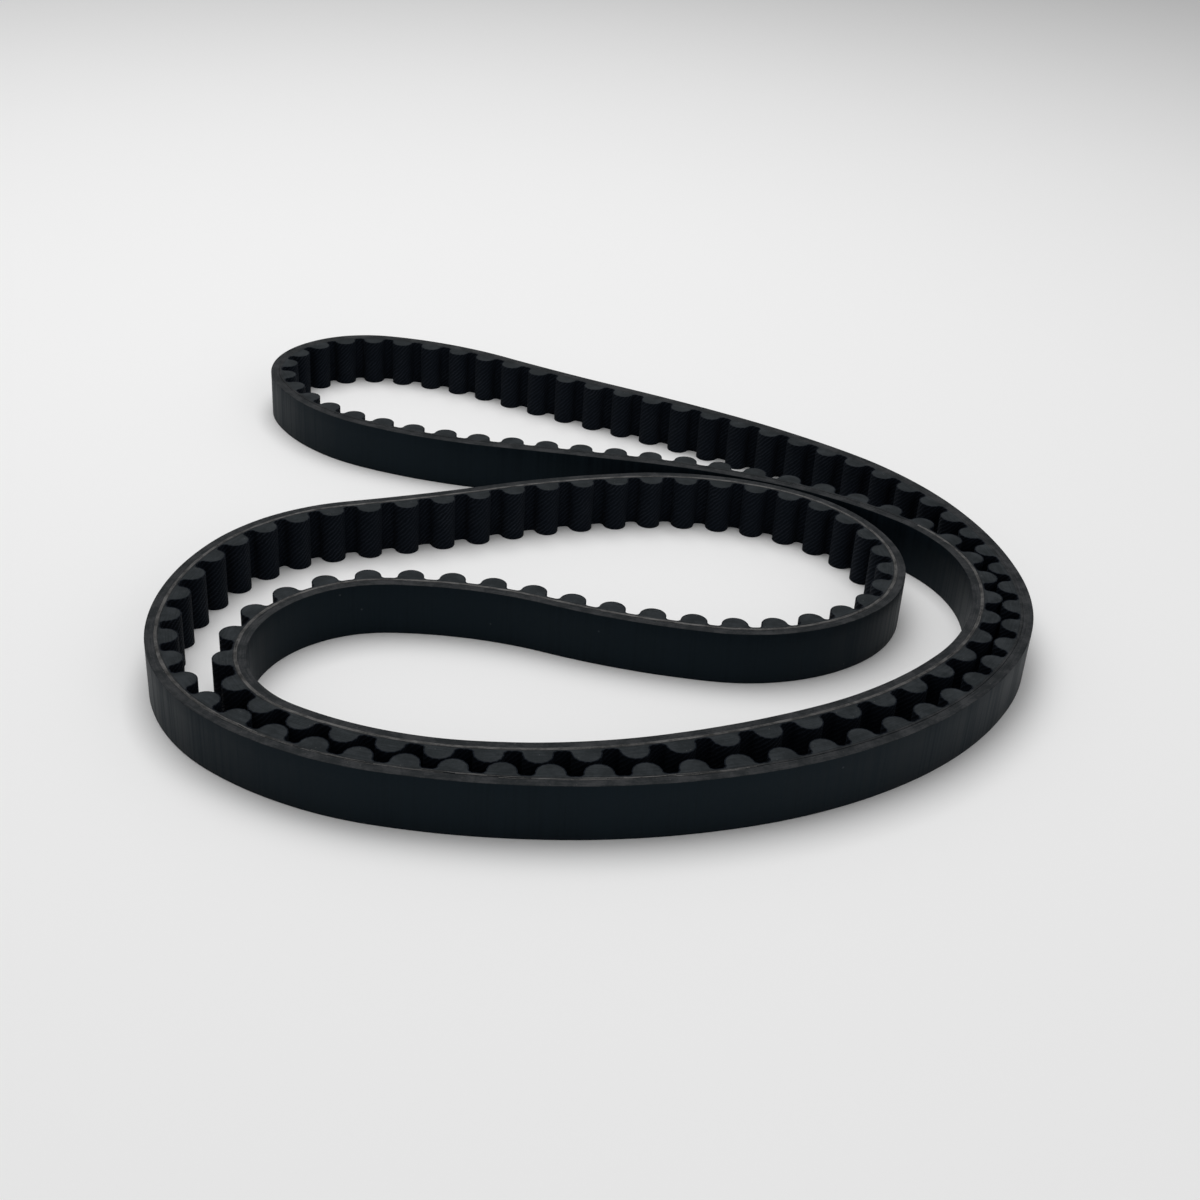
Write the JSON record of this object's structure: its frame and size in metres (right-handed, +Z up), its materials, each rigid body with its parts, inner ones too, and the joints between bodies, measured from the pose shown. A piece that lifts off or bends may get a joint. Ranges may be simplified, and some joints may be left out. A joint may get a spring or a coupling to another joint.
{
  "type": "timing belt",
  "caption": "Endless rubber timing belt with round-headed teeth, lying on its edge curled in a loose spiral with two loops.",
  "frame": {"origin": "centre of the belt's plan, on the surface that its lower cut edge stands on", "axes": "+Z up across the belt's width, +Y away from the front run, +X to the right seen from the front run"},
  "size_m": [0.1714, 0.1932, 0.011],
  "materials": {
    "backing_rubber": "satin",
    "tooth_rubber": "matt",
    "tooth_fabric": "woven",
    "glass_cord": "twisted yarn"
  },
  "bodies": {
    "root": {"backing_rubber": "backing_rubber", "cord_bed_rubber": "glass_cord", "cord_s_turn_1": "glass_cord", "cord_s_turn_3": "glass_cord", "cord_s_turn_5": "glass_cord", "cord_s_turn_7": "glass_cord", "cord_s_turn_9": "glass_cord", "cord_slit_turn": "glass_cord", "cord_z_turn_2": "glass_cord", "cord_z_turn_4": "glass_cord", "cord_z_turn_6": "glass_cord", "cord_z_turn_8": "glass_cord", "facing_fabric": "tooth_fabric", "teeth_inner_front": "tooth_rubber", "teeth_inner_left": "tooth_rubber", "teeth_inner_lobe_end": "tooth_rubber", "teeth_inner_lobe_front": "tooth_rubber", "teeth_inner_lobe_rear": "tooth_rubber", "teeth_inner_right": "tooth_rubber", "teeth_outer_front": "tooth_rubber", "teeth_outer_left": "tooth_rubber", "teeth_outer_rear": "tooth_rubber", "teeth_outer_right": "tooth_rubber", "teeth_rear_lobe_end": "tooth_rubber", "teeth_rear_lobe_front": "tooth_rubber"}
  },
  "joints": []
}
